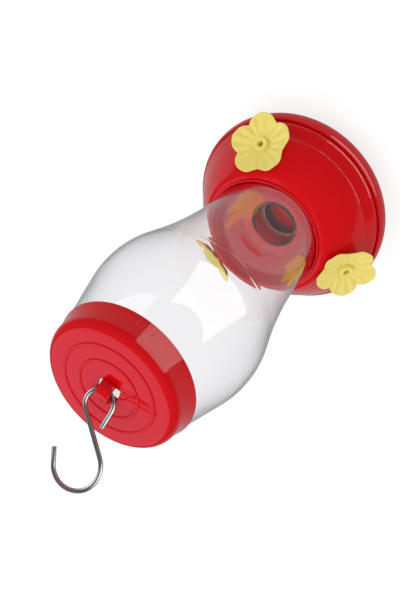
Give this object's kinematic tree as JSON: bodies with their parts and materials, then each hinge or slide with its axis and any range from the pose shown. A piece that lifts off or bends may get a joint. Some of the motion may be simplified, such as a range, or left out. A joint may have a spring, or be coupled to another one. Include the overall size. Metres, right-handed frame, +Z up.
{
  "type": "hanging bird drinker",
  "caption": "Hanging bird drinker: a clear bottle stands neck down in a round red base with yellow flowers, under a cap with a bar and a bent wire hook.",
  "frame": {"origin": "middle of the dish's flat underside, mount foot", "axes": "+Z up the bottle's axis; +X across the bar under the cap's bridge, level; flower_1 stands on -X"},
  "size_m": [0.1339, 0.1274, 0.2576],
  "materials": {
    "dish_plastic": "gloss",
    "cover_plastic": "gloss",
    "cap_plastic": "gloss",
    "clear_plastic": "clear gloss",
    "steel_wire": "bright drawn wire",
    "flower_plastic": "satin"
  },
  "bodies": {
    "base": {"base_dish": "dish_plastic", "base_cover": "cover_plastic", "flower_1": "flower_plastic", "flower_2": "flower_plastic", "flower_3": "flower_plastic"},
    "bottle": {"bottle": "clear_plastic", "hanger_cap": "cap_plastic"},
    "hook": {"hanging_hook": "steel_wire"}
  },
  "joints": [
    {"name": "bottle_unscrew", "type": "hinge", "parent": "base", "child": "bottle", "pos_m": [0, 0, 0.06], "axis": [0, 0, 1], "range_deg": [0, 540]},
    {"name": "hook_swing", "type": "hinge", "parent": "bottle", "child": "hook", "pos_m": [0, 0, 0.2226], "axis": [1, 0, 0], "range_deg": [-20, 116]}
  ]
}
